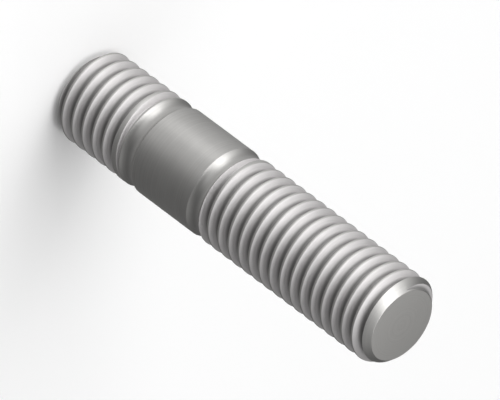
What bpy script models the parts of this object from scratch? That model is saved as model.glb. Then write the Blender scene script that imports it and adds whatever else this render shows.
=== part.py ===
"""Stud bolt: a full-bodied double-end steel stud, M10 x 1.5, turned from bar and threaded at both ends.

The stud stands on its tap end, the short one, with the middle of that end face at the origin and its
axis along +Z. The tap end screws into a tapped hole and the longer end takes a nut. Between the threads
is a plain shank of the thread's own diameter, with a shallow rounded groove at each end of it.
"""

import math

import bmesh
import bpy
from mathutils import Matrix, Vector

MM = 0.001

# Driving sizes. Both threads and the shank share the nominal diameter.
NOMINAL_DIAMETER = 10.0 * MM
PITCH = 1.5 * MM
TAP_END_LENGTH = 12.0 * MM  # thread and groove
SHANK_LENGTH = 8.0 * MM  # between the grooves
NUT_END_LENGTH = 26.0 * MM  # groove and thread
GROOVE_WIDTH = 1.9 * MM
GROOVE_DEPTH = 0.4 * MM
CHAMFER = 1.0 * MM  # at 45 degrees, on both ends

# The thread's form, as ISO metric threads have it.
THREAD_ANGLE = math.radians(60)
CREST_FLAT = PITCH / 8
ROOT_RADIUS = 0.144 * PITCH
RUNOUT_TURNS = 0.5  # over which a thread fades out
TAP_OVERRUN = -0.16 * MM  # the tap end's thread has faded out just short of its groove
NUT_OVERRUN = 0.4 * MM  # and the nut end's within its groove

# How finely the round surfaces are divided. Places round the axis are counted in facets from +X.
FACETS = 32
ROOT_STEPS = 2
GROOVE_STEPS = 6
TAP_RUNOUT_FACET = 0
NUT_RUNOUT_FACET = 9
CLOSEST_POINTS = 0.004 * MM  # points nearer to each other than this become one

STEEL_COLOUR = (0.54, 0.535, 0.525, 1.0)
STEEL_ROUGHNESS = 0.42
CREASE = math.radians(35)

RADIUS = NOMINAL_DIAMETER / 2
SHANK_TOP = TAP_END_LENGTH + SHANK_LENGTH
LENGTH = SHANK_TOP + NUT_END_LENGTH
FACET_ANGLE = 2 * math.pi / FACETS
CLIMB = PITCH / FACETS  # along the axis for each facet round
TOOL_PROUD = CREST_FLAT / 2  # how far the cutting tool stands out of the bar


def clear_scene():
    for thing in list(bpy.data.objects):
        bpy.data.objects.remove(thing, do_unlink=True)


def collection(name):
    made = bpy.data.collections.new(name)
    bpy.context.scene.collection.children.link(made)
    return made


def steel():
    material = bpy.data.materials.new("steel")
    material.use_nodes = True
    shader = material.node_tree.nodes["Principled BSDF"]
    shader.inputs["Base Color"].default_value = STEEL_COLOUR
    shader.inputs["Metallic"].default_value = 1.0
    shader.inputs["Roughness"].default_value = STEEL_ROUGHNESS
    return material


def groove_points(bottom):
    """The rounded groove above this height, from its upper edge down to its lower edge."""
    half_width = GROOVE_WIDTH / 2
    arc_radius = (half_width**2 + GROOVE_DEPTH**2) / (2 * GROOVE_DEPTH)
    middle = bottom + half_width
    centre = RADIUS - GROOVE_DEPTH + arc_radius
    half_arc = math.asin(half_width / arc_radius)
    points = []
    for step in range(GROOVE_STEPS + 1):
        turn = half_arc * (1 - 2 * step / GROOVE_STEPS)
        points.append((centre - arc_radius * math.cos(turn), middle + arc_radius * math.sin(turn)))
    return points


def bar_profile():
    """The turned bar's outline before threading, from the nut end's middle down to the tap end's."""
    return [
        (0.0, LENGTH),
        (RADIUS - CHAMFER, LENGTH),
        (RADIUS, LENGTH - CHAMFER),
        *groove_points(SHANK_TOP),
        *groove_points(TAP_END_LENGTH - GROOVE_WIDTH),
        (RADIUS, CHAMFER),
        (RADIUS - CHAMFER, 0.0),
        (0.0, 0.0),
    ]


def turned_bar(name, into):
    points = [(distance, 0.0, height) for distance, height in bar_profile()]
    mesh = bpy.data.meshes.new(name)
    mesh.from_pydata(points, [(i, i + 1) for i in range(len(points) - 1)], [])
    bar = bpy.data.objects.new(name, mesh)
    into.objects.link(bar)
    turn = bar.modifiers.new("turn", "SCREW")
    turn.axis = "Z"
    turn.angle = 2 * math.pi
    turn.steps = FACETS
    turn.render_steps = FACETS
    turn.use_merge_vertices = True
    turn.merge_threshold = CLOSEST_POINTS
    return bar


def thread_section():
    """The thread groove's section: distances from the stud's axis, and along it from the groove's middle."""
    half_angle = THREAD_ANGLE / 2
    flanks_meet = RADIUS - (PITCH - CREST_FLAT) / 2 / math.tan(half_angle)
    arc_centre = flanks_meet + ROOT_RADIUS / math.sin(half_angle)
    mouth = RADIUS + TOOL_PROUD
    half_mouth = (mouth - flanks_meet) * math.tan(half_angle)
    points = [(mouth, -half_mouth)]
    for step in range(ROOT_STEPS + 1):
        turn = (math.pi / 2 - half_angle) * (2 * step / ROOT_STEPS - 1)
        points.append((arc_centre - ROOT_RADIUS * math.cos(turn), ROOT_RADIUS * math.sin(turn)))
    points.append((mouth, half_mouth))
    return points


def thread_cutter(name, into, tip, runout_height, runout_facet):
    """The helical ridge that, cut from the bar, leaves one right-hand thread.

    It starts a pitch beyond the stud's tip and climbs towards the groove, upwards at the tap end and
    downwards at the nut end. Over its run-out it backs out of the bar.
    """
    direction = math.copysign(1, runout_height - tip)
    climb = direction * CLIMB
    runout_steps = round(RUNOUT_TURNS * FACETS)
    all_steps = math.ceil((abs(runout_height - tip) + PITCH) / CLIMB)
    section = thread_section()
    depth = RADIUS - min(distance for distance, along in section)
    retreat = (depth + TOOL_PROUD) / runout_steps

    def azimuth(steps_to_go):
        return Matrix.Rotation((runout_facet - direction * steps_to_go) * FACET_ANGLE, 3, "Z")

    bm = bmesh.new()
    start_height = runout_height - climb * all_steps
    corners = [Vector((distance, 0.0, start_height + along)) for distance, along in section]
    front = [bm.faces.new([bm.verts.new(azimuth(all_steps) @ corner) for corner in corners])]

    def sweep(front, steps):
        turned = direction * steps * FACET_ANGLE
        swept = bmesh.ops.spin(
            bm, geom=front, cent=(0, 0, 0), axis=(0, 0, 1), dvec=(0, 0, climb), angle=turned, steps=steps
        )
        return swept["geom_last"]

    front = sweep(front, all_steps - runout_steps)
    for steps_to_go in reversed(range(runout_steps)):
        front = sweep(front, 1)
        moving = [item for item in front if isinstance(item, bmesh.types.BMVert)]
        bmesh.ops.translate(bm, verts=moving, vec=azimuth(steps_to_go) @ Vector((retreat, 0.0, 0.0)))
    bmesh.ops.recalc_face_normals(bm, faces=bm.faces)
    mesh = bpy.data.meshes.new(name)
    bm.to_mesh(mesh)
    bm.free()
    cutter = bpy.data.objects.new(name, mesh)
    cutter.hide_render = True
    cutter.display_type = "WIRE"
    into.objects.link(cutter)
    return cutter


def cut(piece, cutter):
    boolean = piece.modifiers.new(cutter.name, "BOOLEAN")
    boolean.operation = "DIFFERENCE"
    boolean.solver = "EXACT"
    boolean.object = cutter


def make_solid(piece, material):
    """Gives the piece the mesh that its modifiers make, smooth on its round faces."""
    weld = piece.modifiers.new("weld", "WELD")
    weld.merge_threshold = CLOSEST_POINTS
    graph = bpy.context.evaluated_depsgraph_get()
    mesh = bpy.data.meshes.new_from_object(piece.evaluated_get(graph))
    mesh.name = piece.name
    piece.modifiers.clear()
    piece.data = mesh
    mesh.shade_smooth()
    mesh.set_sharp_from_angle(angle=CREASE)
    mesh.materials.clear()
    mesh.materials.append(material)


def main():
    clear_scene()
    stud_bolt = collection("stud_bolt")
    cutters = collection("cutters")
    stud = turned_bar("stud", stud_bolt)
    tap_runout = TAP_END_LENGTH - GROOVE_WIDTH + TAP_OVERRUN
    nut_runout = SHANK_TOP + GROOVE_WIDTH - NUT_OVERRUN
    cut(stud, thread_cutter("tap_thread", cutters, 0.0, tap_runout, TAP_RUNOUT_FACET))
    cut(stud, thread_cutter("nut_thread", cutters, LENGTH, nut_runout, NUT_RUNOUT_FACET))
    make_solid(stud, steel())


main()
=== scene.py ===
"""The looks of the stud bolt: its fine threads, its steel finishes, the studio and the camera."""

import math

import bmesh
import bpy
from mathutils import Matrix, Vector


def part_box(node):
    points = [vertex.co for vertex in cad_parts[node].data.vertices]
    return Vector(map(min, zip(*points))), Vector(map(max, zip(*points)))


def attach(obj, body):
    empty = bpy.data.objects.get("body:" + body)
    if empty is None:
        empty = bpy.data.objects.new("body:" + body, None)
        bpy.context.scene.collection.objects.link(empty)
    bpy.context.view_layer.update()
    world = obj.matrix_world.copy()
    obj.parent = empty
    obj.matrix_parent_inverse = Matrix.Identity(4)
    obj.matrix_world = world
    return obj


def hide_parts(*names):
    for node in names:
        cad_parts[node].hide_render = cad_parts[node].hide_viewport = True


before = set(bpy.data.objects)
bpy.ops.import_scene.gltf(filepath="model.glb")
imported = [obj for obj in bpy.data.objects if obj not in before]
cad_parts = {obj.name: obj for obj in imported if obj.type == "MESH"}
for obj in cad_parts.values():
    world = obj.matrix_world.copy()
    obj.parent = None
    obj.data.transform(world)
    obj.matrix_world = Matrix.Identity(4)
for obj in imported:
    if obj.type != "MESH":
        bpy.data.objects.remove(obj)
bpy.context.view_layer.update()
LOW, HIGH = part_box("stud")

MM = 0.001

# The stud's sizes, as the solid has them.
RADIUS = (HIGH.x - LOW.x) / 2
LENGTH = HIGH.z - LOW.z
PITCH = 1.5 * MM
TAP_END_LENGTH = 12.0 * MM
NUT_END_LENGTH = 26.0 * MM
GROOVE_WIDTH = 1.9 * MM
GROOVE_DEPTH = 0.4 * MM
CHAMFER = 1.0 * MM
HALF_THREAD_ANGLE = math.radians(30)
CREST_FLAT = PITCH / 8
ROOT_RADIUS = 0.144 * PITCH  # as metric threads have it

# Each thread fades out over this much of a turn. It ends this far past its groove's edge, or before the
# edge where that is negative, at this place round the axis.
RUNOUT_TURNS = 0.5
TAP_OVERRUN = -0.16 * MM
NUT_OVERRUN = 0.4 * MM
TAP_RUNOUT_ANGLE = 0.0
NUT_RUNOUT_ANGLE = math.radians(101.25)

# Edges that no tool leaves sharp.
CREST_ROUNDING = 0.14 * MM
EDGE_ROUNDING = 0.06 * MM

# The stud's finishes, in the order of its material slots.
FACED, ROLLED, TURNED = range(3)

# How finely the round surfaces are divided.
AROUND = 112
STEP_ANGLE = 2 * math.pi / AROUND
ROOT_STEPS = 6
CREST_STEPS = 3
EDGE_STEPS = 3
GROOVE_STEPS = 16
CREASE = math.radians(30)

# How the meshes are made and joined.
WELD = 0.001 * MM
PROUD = 0.02 * MM  # how far the envelope stands outside the crests
SINKING = 0.49 * PITCH  # how far to each side of its root the thread sinks away as it fades
FAINT = 0.02  # the share of its depth that the thread keeps past its run-out, too little to be seen
FAINT_TURNS = 2  # how long it goes on so, which takes it past the middle of its groove

# The steel's surface. Fine marks and broad clouds, both noises, vary its colour and roughness a little.
CLOUD = 3.0 * MM
LEAST_NOISE = 0.7  # the two noises add up to between these, but for rare spots
MOST_NOISE = 1.3
ROUGHNESS_SPREAD = 0.04
MARK_HEIGHT = 0.004 * MM
MARK_STRENGTH = 0.2

# Between these depths below its crests, the painted shade in the thread's roots fades out, and the crests'
# grey sets in.
PAINTED_ROOT_SHADE = (0.9 * MM, 0.5 * MM)
CREST_TONE = (0.08 * MM, 0.02 * MM)
FLANK_ROUGHNESS = 0.66
CREST_ROUGHNESS = 0.58

# A Mix node's sockets for colours, which share their names with its other sockets.
MIX_FIRST = 6
MIX_SECOND = 7
MIX_RESULT = 2

# The photograph, in which the axis runs down to the lower right.
PHOTO_WIDTH = 500
PIXEL = 0.09827 * MM
AXIS_SLOPE = math.radians(36.76)
OUT_OF_PICTURE = math.radians(33.5)

# The camera aims at this height, this far from the axis towards -x. The photograph has no perspective,
# and the lens is so long that the render has next to none.
AIM_HEIGHT = 23.02 * MM
AIM_OFFSET = 0.944 * MM
LENS_MM = 1200
SENSOR_MM = 36

# The studio. Directions are in degrees: azimuth from the camera's side towards +x, and elevation.
# A radiance of 1 is white.
LAMP_DISTANCE = 1.0
FLOOR_RADIUS = 3.0
FLOOR_SIDES = 64

# The key lights the upper right of the picture. It reaches below the floor, which lets its light through,
# because the photograph's stud floats free and has its highlight along its whole length.
KEY = {"azimuth": -51, "elevation": 23, "width": 0.62, "height": 2.4, "radiance": 1.72}
TOP = {"azimuth": -54, "elevation": 88, "width": 0.7, "height": 0.96, "radiance": 2.9}

# Soft light from the studio's walls: beside the key, from below, on the far side from the key, and faintly
# from near the camera.
AMBIENT = 0.13
GLOWS = [
    {"azimuth": -68, "elevation": 25, "tightness": 9, "radiance": 1.26},
    {"azimuth": -83, "elevation": -70, "tightness": 6.8, "radiance": 0.95},
    {"azimuth": 92, "elevation": 35, "tightness": 12, "radiance": 0.25},
    {"azimuth": -11, "elevation": -10, "tightness": 23, "radiance": 0.64},
]


# Mesh helpers


def chain(bm, points, azimuth=0.0):
    """Edges through these (distance from the axis, height) points, at this place round the axis."""
    turn = Matrix.Rotation(azimuth, 3, "Z")
    verts = [bm.verts.new(turn @ Vector((distance, 0.0, height))) for distance, height in points]
    edges = [bm.edges.new(pair) for pair in zip(verts, verts[1:])]
    return verts + edges


def sweep(bm, front, angle, steps, climb):
    """Turns the front about the axis, climbing at each step, and gives its last place."""
    swept = bmesh.ops.spin(
        bm, geom=front, cent=(0, 0, 0), axis=(0, 0, 1), dvec=(0, 0, climb), angle=angle, steps=steps
    )
    return swept["geom_last"]


def verts_of(items):
    return [item for item in items if isinstance(item, bmesh.types.BMVert)]


def faces_at(bm, height):
    """The flat faces that lie level at this height."""
    return [face for face in bm.faces if all(abs(vert.co.z - height) < WELD for vert in face.verts)]


def give_finish(faces, finish):
    for face in faces:
        face.material_index = finish
        face.smooth = True


def close_up(bm):
    """Merges what meets, and turns the faces outwards."""
    bmesh.ops.remove_doubles(bm, verts=bm.verts, dist=WELD)
    bmesh.ops.recalc_face_normals(bm, faces=bm.faces)


def as_object(bm, name, finishes):
    mesh = bpy.data.meshes.new(name)
    bm.to_mesh(mesh)
    bm.free()
    for finish in finishes:
        mesh.materials.append(finish)
    made = bpy.data.objects.new(name, mesh)
    bpy.context.scene.collection.objects.link(made)
    return made


def turn_on_lathe(points):
    """The surface that this outline of (distance from the axis, height) points sweeps round the axis."""
    bm = bmesh.new()
    bmesh.ops.spin(
        bm,
        geom=chain(bm, points),
        cent=(0, 0, 0),
        axis=(0, 0, 1),
        angle=2 * math.pi,
        steps=AROUND,
        use_merge=True,
    )
    close_up(bm)
    return bm


def rounded(before, corner, after, radius):
    """Points that round this corner of an outline."""
    corner = Vector(corner)
    first, second = [(Vector(point) - corner).normalized() for point in (before, after)]
    half_angle = first.angle(second) / 2
    reach = radius / math.tan(half_angle)
    middle = corner + (first + second).normalized() * radius / math.sin(half_angle)
    start = corner + first * reach - middle
    turn = start.angle_signed(corner + second * reach - middle)
    steps = range(EDGE_STEPS + 1)
    return [tuple(middle + Matrix.Rotation(-turn * step / EDGE_STEPS, 2) @ start) for step in steps]


# The stud


def thread_profile():
    """One pitch of the thread, from crest to crest: distances from the axis, and along it from the root."""
    half_opening = (PITCH - CREST_FLAT) / 2
    flanks_meet = RADIUS - half_opening / math.tan(HALF_THREAD_ANGLE)
    root_centre = flanks_meet + ROOT_RADIUS / math.sin(HALF_THREAD_ANGLE)
    half_arc = math.pi / 2 - HALF_THREAD_ANGLE
    crest_centre = half_opening + CREST_ROUNDING * math.tan(half_arc / 2)
    half = []
    for step in range(ROOT_STEPS // 2 + 1):
        turn = half_arc * 2 * step / ROOT_STEPS
        half.append((root_centre - ROOT_RADIUS * math.cos(turn), ROOT_RADIUS * math.sin(turn)))
    for step in range(CREST_STEPS + 1):
        turn = half_arc * (1 - step / CREST_STEPS)
        distance = RADIUS - CREST_ROUNDING * (1 - math.cos(turn))
        half.append((distance, crest_centre - CREST_ROUNDING * math.sin(turn)))
    half.append((RADIUS, PITCH / 2))
    return [(distance, -along) for distance, along in reversed(half[1:])] + half


def fade(bm, front, steps, runout_height, runout_angle, direction):
    """Sweeps the thread on to its run-out, sinking its groove a little more at each step."""
    climb = direction * PITCH / AROUND
    for steps_to_go in reversed(range(steps)):
        front = sweep(bm, front, direction * STEP_ANGLE, 1, climb)
        azimuth = Matrix.Rotation(runout_angle - direction * steps_to_go * STEP_ANGLE, 3, "Z")
        mouth = azimuth @ Vector((RADIUS, 0.0, runout_height - climb * steps_to_go))
        inner = [vert for vert in verts_of(front) if abs(vert.co.z - mouth.z) < SINKING]
        shrink = (FAINT * steps + steps_to_go) / (FAINT * steps + steps_to_go + 1)
        bmesh.ops.scale(bm, verts=inner, vec=(shrink,) * 3, space=Matrix.Translation(-mouth))
    return front


def cap_ends(bm):
    """Closes both open ends of the rod with a cone to the axis."""
    rims = [edge for edge in bm.edges if edge.is_boundary]
    ends = verts_of(bmesh.ops.extrude_edge_only(bm, edges=rims)["geom"])
    middle = sum(vert.co.z for vert in ends) / len(ends)
    above = [vert for vert in ends if vert.co.z > middle]
    below = [vert for vert in ends if vert.co.z < middle]
    bmesh.ops.pointmerge(bm, verts=above, merge_co=(0, 0, max(vert.co.z for vert in above)))
    bmesh.ops.pointmerge(bm, verts=below, merge_co=(0, 0, min(vert.co.z for vert in below)))


def threaded_rod(tip, runout_height, runout_angle):
    """A closed rod with a right-hand thread, longer at both ends than the thread that is wanted.

    From beyond the stud's tip the thread runs to its run-out by the groove, fades there over half a turn,
    and goes on faintly past the middle of the groove.
    """
    direction = math.copysign(1, runout_height - tip)
    climb = direction * PITCH / AROUND
    runout_steps = round(RUNOUT_TURNS * AROUND)
    full_turns = math.ceil(abs(runout_height - tip) / PITCH - RUNOUT_TURNS) + 1

    bm = bmesh.new()
    first_height = runout_height - direction * (RUNOUT_TURNS + 1) * PITCH
    points = [(distance, first_height + along) for distance, along in thread_profile()]
    front = chain(bm, points, runout_angle - direction * runout_steps * STEP_ANGLE)
    front = sweep(bm, front, direction * 2 * math.pi, AROUND, climb)
    one_turn = bm.verts[:] + bm.edges[:] + bm.faces[:]
    front = fade(bm, front, runout_steps, runout_height, runout_angle, direction)
    sweep(bm, front, direction * FAINT_TURNS * 2 * math.pi, FAINT_TURNS * AROUND, climb)
    for turn in range(1, full_turns):
        copied = bmesh.ops.duplicate(bm, geom=one_turn)["geom"]
        bmesh.ops.translate(bm, verts=verts_of(copied), vec=(0, 0, -direction * turn * PITCH))
    bmesh.ops.remove_doubles(bm, verts=bm.verts, dist=WELD)
    cap_ends(bm)
    close_up(bm)
    give_finish(bm.faces, ROLLED)
    return bm


def groove_arc(first, last):
    """The groove's section from edge to edge: distances from the axis, and along it from the edge.

    It is drawn from one share of its width to another, so 0 to 0.5 is its first half.
    """
    half_width = GROOVE_WIDTH / 2
    arc_radius = (half_width**2 + GROOVE_DEPTH**2) / (2 * GROOVE_DEPTH)
    centre = RADIUS - GROOVE_DEPTH + arc_radius
    half_arc = math.asin(half_width / arc_radius)
    points = []
    for step in range(round(GROOVE_STEPS * (last - first)) + 1):
        turn = half_arc * (2 * (first + step / GROOVE_STEPS) - 1)
        points.append((centre - arc_radius * math.cos(turn), half_width + arc_radius * math.sin(turn)))
    return points


def end_outline(thread_length):
    """A threaded end's outline, from the middle of its end face to the middle of its groove.

    It gives distances from the axis, and along it from the end face. Over the thread it stands proud.
    """
    face_edge = (RADIUS - CHAMFER, 0.0)
    chamfer_edge = (RADIUS + PROUD, CHAMFER + PROUD)
    arc = [(distance, thread_length + along) for distance, along in groove_arc(0.0, 0.5)]
    return [
        (0.0, 0.0),
        *rounded((0.0, 0.0), face_edge, chamfer_edge, EDGE_ROUNDING),
        chamfer_edge,
        (RADIUS + PROUD, thread_length),
        *arc,
        (0.0, arc[-1][1]),
    ]


def threaded_end(tip, groove_edge, overrun, runout_angle, finishes):
    """A threaded end's mesh from its tip to the middle of its groove, where it is open.

    It is what the threaded rod and the end's turned envelope have in common.
    """
    direction = math.copysign(1, groove_edge - tip)
    points = end_outline(abs(groove_edge - tip))
    outline = [(distance, tip + direction * along) for distance, along in points]
    inside = outline[-1][1]
    turned = turn_on_lathe(outline)
    give_finish(turned.faces, TURNED)
    give_finish(faces_at(turned, tip), FACED)
    envelope = as_object(turned, "envelope", finishes)
    rod = threaded_rod(tip, groove_edge + direction * overrun, runout_angle)
    end = as_object(rod, "end", finishes)
    boolean = end.modifiers.new("envelope", "BOOLEAN")
    boolean.operation = "INTERSECT"
    boolean.solver = "EXACT"
    boolean.object = envelope
    graph = bpy.context.evaluated_depsgraph_get()
    bm = bmesh.new()
    bm.from_mesh(end.evaluated_get(graph).to_mesh())
    bpy.data.objects.remove(end)
    bpy.data.objects.remove(envelope)
    bmesh.ops.delete(bm, geom=faces_at(bm, inside), context="FACES")
    return bm


def shank():
    """The plain part between the middles of the two grooves, open at both ends."""
    first = [(distance, TAP_END_LENGTH - GROOVE_WIDTH + along) for distance, along in groove_arc(0.5, 1.0)]
    second = [(distance, LENGTH - NUT_END_LENGTH + along) for distance, along in groove_arc(0.0, 0.5)]
    outline = [
        *first[:-1],
        *rounded(first[-2], first[-1], second[0], EDGE_ROUNDING),
        *rounded(first[-1], second[0], second[1], EDGE_ROUNDING),
        *second[1:],
    ]
    bm = turn_on_lathe(outline)
    give_finish(bm.faces, TURNED)
    return bm


def make_stud(finishes):
    """The whole stud, with each finish on the faces that its tool makes."""
    tap_groove = TAP_END_LENGTH - GROOVE_WIDTH
    nut_groove = LENGTH - NUT_END_LENGTH + GROOVE_WIDTH
    whole = shank()
    for end in (
        threaded_end(0.0, tap_groove, TAP_OVERRUN, TAP_RUNOUT_ANGLE, finishes),
        threaded_end(LENGTH, nut_groove, NUT_OVERRUN, NUT_RUNOUT_ANGLE, finishes),
    ):
        mesh = bpy.data.meshes.new("end")
        end.to_mesh(mesh)
        end.free()
        whole.from_mesh(mesh)
    close_up(whole)
    stud = as_object(whole, "fine_stud", finishes)
    stud.data.set_sharp_from_angle(angle=CREASE)
    weighted = stud.modifiers.new("weighted", "WEIGHTED_NORMAL")
    weighted.keep_sharp = True
    return stud


# Materials


def linear(colour):
    """An sRGB hex colour in linear light."""
    channels = [int(colour[place : place + 2], 16) / 255 for place in (1, 3, 5)]
    return (*[c / 12.92 if c <= 0.04045 else ((c + 0.055) / 1.055) ** 2.4 for c in channels], 1.0)


def add_node(tree, kind, inputs=None, **settings):
    """A node with these settings, whose inputs are given as values or as other nodes' outputs."""
    node = tree.nodes.new(kind)
    for name, value in settings.items():
        setattr(node, name, value)
    for name, value in (inputs or {}).items():
        if isinstance(value, bpy.types.NodeSocket):
            tree.links.new(value, node.inputs[name])
        else:
            node.inputs[name].default_value = value
    return node


def new_material(name):
    material = bpy.data.materials.new(name)
    material.use_nodes = True
    material.node_tree.nodes.clear()
    return material, material.node_tree


def place_on_stud(tree):
    """A point's place, its distance from the stud's axis, and its height."""
    place = add_node(tree, "ShaderNodeTexCoord").outputs["Object"]
    height = add_node(tree, "ShaderNodeSeparateXYZ", {"Vector": place}).outputs["Z"]
    across = add_node(tree, "ShaderNodeVectorMath", {0: place, 1: (1, 1, 0)}, operation="MULTIPLY")
    distance = add_node(tree, "ShaderNodeVectorMath", {0: across.outputs[0]}, operation="LENGTH")
    return place, distance.outputs["Value"], height


def tool_marks(tree, spacing):
    """Marks round the axis, this far apart, and a share from 0 to 1 that varies with them and in clouds."""
    place, distance, height = place_on_stud(tree)
    lay = add_node(tree, "ShaderNodeCombineXYZ", {"X": distance, "Y": height})
    marks = add_node(
        tree, "ShaderNodeTexNoise", {"Vector": lay.outputs[0], "Scale": 1 / spacing, "Detail": 2.0}
    )
    cloud = add_node(tree, "ShaderNodeTexNoise", {"Vector": place, "Scale": 1 / CLOUD, "Detail": 3.0})
    both = add_node(
        tree, "ShaderNodeMath", {0: marks.outputs["Fac"], 1: cloud.outputs["Fac"]}, operation="ADD"
    )
    span = {"From Min": LEAST_NOISE, "From Max": MOST_NOISE}
    share = add_node(tree, "ShaderNodeMapRange", {"Value": both.outputs[0], **span})
    return marks.outputs["Fac"], share.outputs[0]


def mix_colours(tree, share, first, second):
    mixed = add_node(
        tree, "ShaderNodeMix", {"Factor": share, MIX_FIRST: first, MIX_SECOND: second}, data_type="RGBA"
    )
    return mixed.outputs[MIX_RESULT]


def show_steel(tree, colour, roughness, marks):
    """Bare metal of this colour and roughness, with the marks raised on it."""
    bump = add_node(
        tree, "ShaderNodeBump", {"Height": marks, "Strength": MARK_STRENGTH, "Distance": MARK_HEIGHT}
    )
    inputs = {"Base Color": colour, "Metallic": 1.0, "Roughness": roughness, "Normal": bump.outputs[0]}
    shader = add_node(tree, "ShaderNodeBsdfPrincipled", inputs)
    add_node(tree, "ShaderNodeOutputMaterial", {"Surface": shader.outputs[0]})


def lathe_cut_steel(name, dark, light, roughness, spacing):
    """Steel with marks round the axis, this far apart, which is lighter where it is smoother."""
    material, tree = new_material(name)
    marks, share = tool_marks(tree, spacing)
    colour = mix_colours(tree, share, linear(dark), linear(light))
    span = {"To Min": roughness + ROUGHNESS_SPREAD, "To Max": roughness - ROUGHNESS_SPREAD}
    rough = add_node(tree, "ShaderNodeMapRange", {"Value": share, **span})
    show_steel(tree, colour, rough.outputs[0], marks)
    return material


def faced_steel():
    """Bare carbon steel, cut off and faced: the coarse cut leaves it dull and a little dark.

    Its faint rings are a facing tool's marks, about 0.1 mm apart on a real stud. The picture's points are
    as large as that, so they are drawn twice as far apart.
    """
    return lathe_cut_steel("faced_steel", "#AEADAB", "#B6B5B3", roughness=0.64, spacing=0.22 * MM)


def turned_steel():
    """Bare carbon steel, finish-turned: its fine marks spread each reflection into a satin streak.

    A finishing tool leaves them about 0.1 mm apart, and they are drawn 0.25 mm apart so that they show.
    """
    return lathe_cut_steel("turned_steel", "#B6B5B3", "#C3C2C0", roughness=0.4, spacing=0.25 * MM)


def share_between(tree, distance, deeper, shallower):
    """A share that grows from 0 to 1 between these two depths below the crests."""
    span = {"From Min": RADIUS - deeper, "From Max": RADIUS - shallower}
    share = add_node(
        tree, "ShaderNodeMapRange", {"Value": distance, **span}, interpolation_type="SMOOTHSTEP"
    )
    return share.outputs[0]


def rolled_steel():
    """Bare carbon steel, rolled between thread dies: pale and nearly matt flanks, where it slid on the dies.

    The roots are painted darker, as shade for the dark at the bottom of the thread's grooves. The crests,
    which the dies barely reach, keep the grey of the turned bar. The dies' marks along the thread are finer
    than 0.1 mm, and are drawn 0.18 mm apart so that they show.
    """
    material, tree = new_material("rolled_thread_steel")
    distance = place_on_stud(tree)[1]
    marks, share = tool_marks(tree, 0.18 * MM)
    flank = mix_colours(tree, share, linear("#DAD8D8"), linear("#E4E2E2"))
    out_of_root_shade = share_between(tree, distance, *PAINTED_ROOT_SHADE)
    on_crest = share_between(tree, distance, *CREST_TONE)
    # The roots' darker colour is painted shade, which fades out up the flanks.
    colour = mix_colours(tree, out_of_root_shade, linear("#989796"), flank)
    colour = mix_colours(tree, on_crest, colour, linear("#BFBEBC"))
    span = {"To Min": FLANK_ROUGHNESS, "To Max": CREST_ROUGHNESS}
    rough = add_node(tree, "ShaderNodeMapRange", {"Value": on_crest, **span})
    show_steel(tree, colour, rough.outputs[0], marks)
    return material


def studio_paper():
    """White background paper, uncoated: quite matt, so that it shows nothing but the stud's soft shadow."""
    material, tree = new_material("matt_white_paper")
    shader = add_node(tree, "ShaderNodeBsdfPrincipled", {"Base Color": linear("#FAFAFA"), "Roughness": 0.9})
    add_node(tree, "ShaderNodeOutputMaterial", {"Surface": shader.outputs[0]})
    return material


# The studio


def make_floor():
    """A floor that takes the stud's shadow, but isn't mirrored in the steel and blocks no light.

    The photograph's stud floats free, with light on it from below as well.
    """
    bm = bmesh.new()
    bmesh.ops.create_circle(bm, cap_ends=True, segments=FLOOR_SIDES, radius=FLOOR_RADIUS)
    floor = as_object(bm, "floor", [studio_paper()])
    floor.visible_glossy = False
    floor.visible_shadow = False


def towards(azimuth, elevation):
    """The direction from the stud that has this azimuth and elevation in degrees."""
    azimuth = math.radians(azimuth)
    elevation = math.radians(elevation)
    level = math.cos(elevation)
    return Vector((level * math.sin(azimuth), -level * math.cos(azimuth), math.sin(elevation)))


def glow(tree, direction, azimuth, elevation, tightness, radiance):
    """A soft light from this side, which fades all the way round to the other side."""
    side = towards(azimuth, elevation)
    facing = add_node(tree, "ShaderNodeVectorMath", {0: direction, 1: side}, operation="DOT_PRODUCT")
    span = {"From Min": -1.0, "From Max": 1.0}
    share = add_node(tree, "ShaderNodeMapRange", {"Value": facing.outputs["Value"], **span})
    faded = add_node(tree, "ShaderNodeMath", {0: share.outputs[0], 1: tightness}, operation="POWER")
    light = add_node(tree, "ShaderNodeMath", {0: faded.outputs[0], 1: radiance}, operation="MULTIPLY")
    return light.outputs[0]


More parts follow.
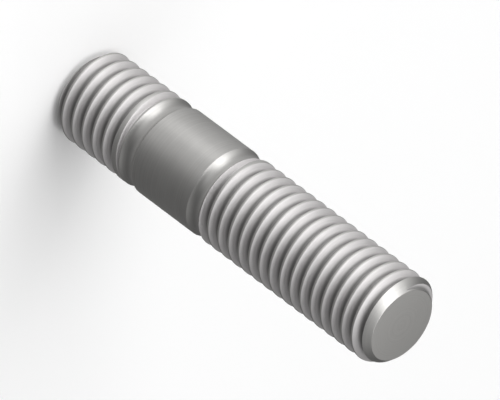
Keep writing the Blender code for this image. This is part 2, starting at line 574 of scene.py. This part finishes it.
def make_world():
    """An even faint light and the soft glows, added up."""
    world = bpy.data.worlds.new("studio")
    bpy.context.scene.world = world
    world.use_nodes = True
    tree = world.node_tree
    tree.nodes.clear()
    direction = add_node(tree, "ShaderNodeTexCoord").outputs["Generated"]
    light = AMBIENT
    for settings in GLOWS:
        one = glow(tree, direction, **settings)
        light = add_node(tree, "ShaderNodeMath", {0: light, 1: one}, operation="ADD").outputs[0]
    background = add_node(tree, "ShaderNodeBackground", {"Color": (1, 1, 1, 1), "Strength": light})
    add_node(tree, "ShaderNodeOutputWorld", {"Surface": background.outputs[0]})


def make_softbox(name, azimuth, elevation, width, height, radiance):
    """A softbox on this side of the stud, turned to face its middle."""
    light = bpy.data.lights.new(name, "AREA")
    light.shape = "RECTANGLE"
    light.size = width
    light.size_y = height
    light.energy = radiance * math.pi * width * height
    softbox = bpy.data.objects.new(name, light)
    bpy.context.scene.collection.objects.link(softbox)
    direction = towards(azimuth, elevation)
    softbox.location = Vector((0, 0, LENGTH / 2)) + direction * LAMP_DISTANCE
    softbox.rotation_euler = direction.to_track_quat("Z", "Y").to_euler()


def make_camera():
    """The photograph's view: from above the nut end, rolled so that the axis slopes as it does there."""
    lens = bpy.data.cameras.new("camera")
    lens.lens = LENS_MM
    lens.sensor_width = SENSOR_MM
    camera = bpy.data.objects.new("camera", lens)
    bpy.context.scene.collection.objects.link(camera)
    bpy.context.scene.camera = camera
    back = Vector((0, -math.cos(OUT_OF_PICTURE), math.sin(OUT_OF_PICTURE)))
    along_axis = Vector((0, math.sin(OUT_OF_PICTURE), math.cos(OUT_OF_PICTURE)))
    across_axis = Vector((1, 0, 0))
    right = math.cos(AXIS_SLOPE) * along_axis - math.sin(AXIS_SLOPE) * across_axis
    up = -math.sin(AXIS_SLOPE) * along_axis - math.cos(AXIS_SLOPE) * across_axis
    aim = Vector((-AIM_OFFSET, 0, AIM_HEIGHT))
    distance = PHOTO_WIDTH * PIXEL * LENS_MM / SENSOR_MM
    turn = Matrix((right, up, back)).transposed().to_4x4()
    camera.matrix_world = Matrix.Translation(aim + back * distance) @ turn


stud = make_stud([faced_steel(), rolled_steel(), turned_steel()])
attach(stud, "root")
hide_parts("stud")
make_floor()
make_world()
make_softbox("key", **KEY)
make_softbox("top", **TOP)
make_camera()
bpy.context.scene.view_settings.view_transform = "Standard"
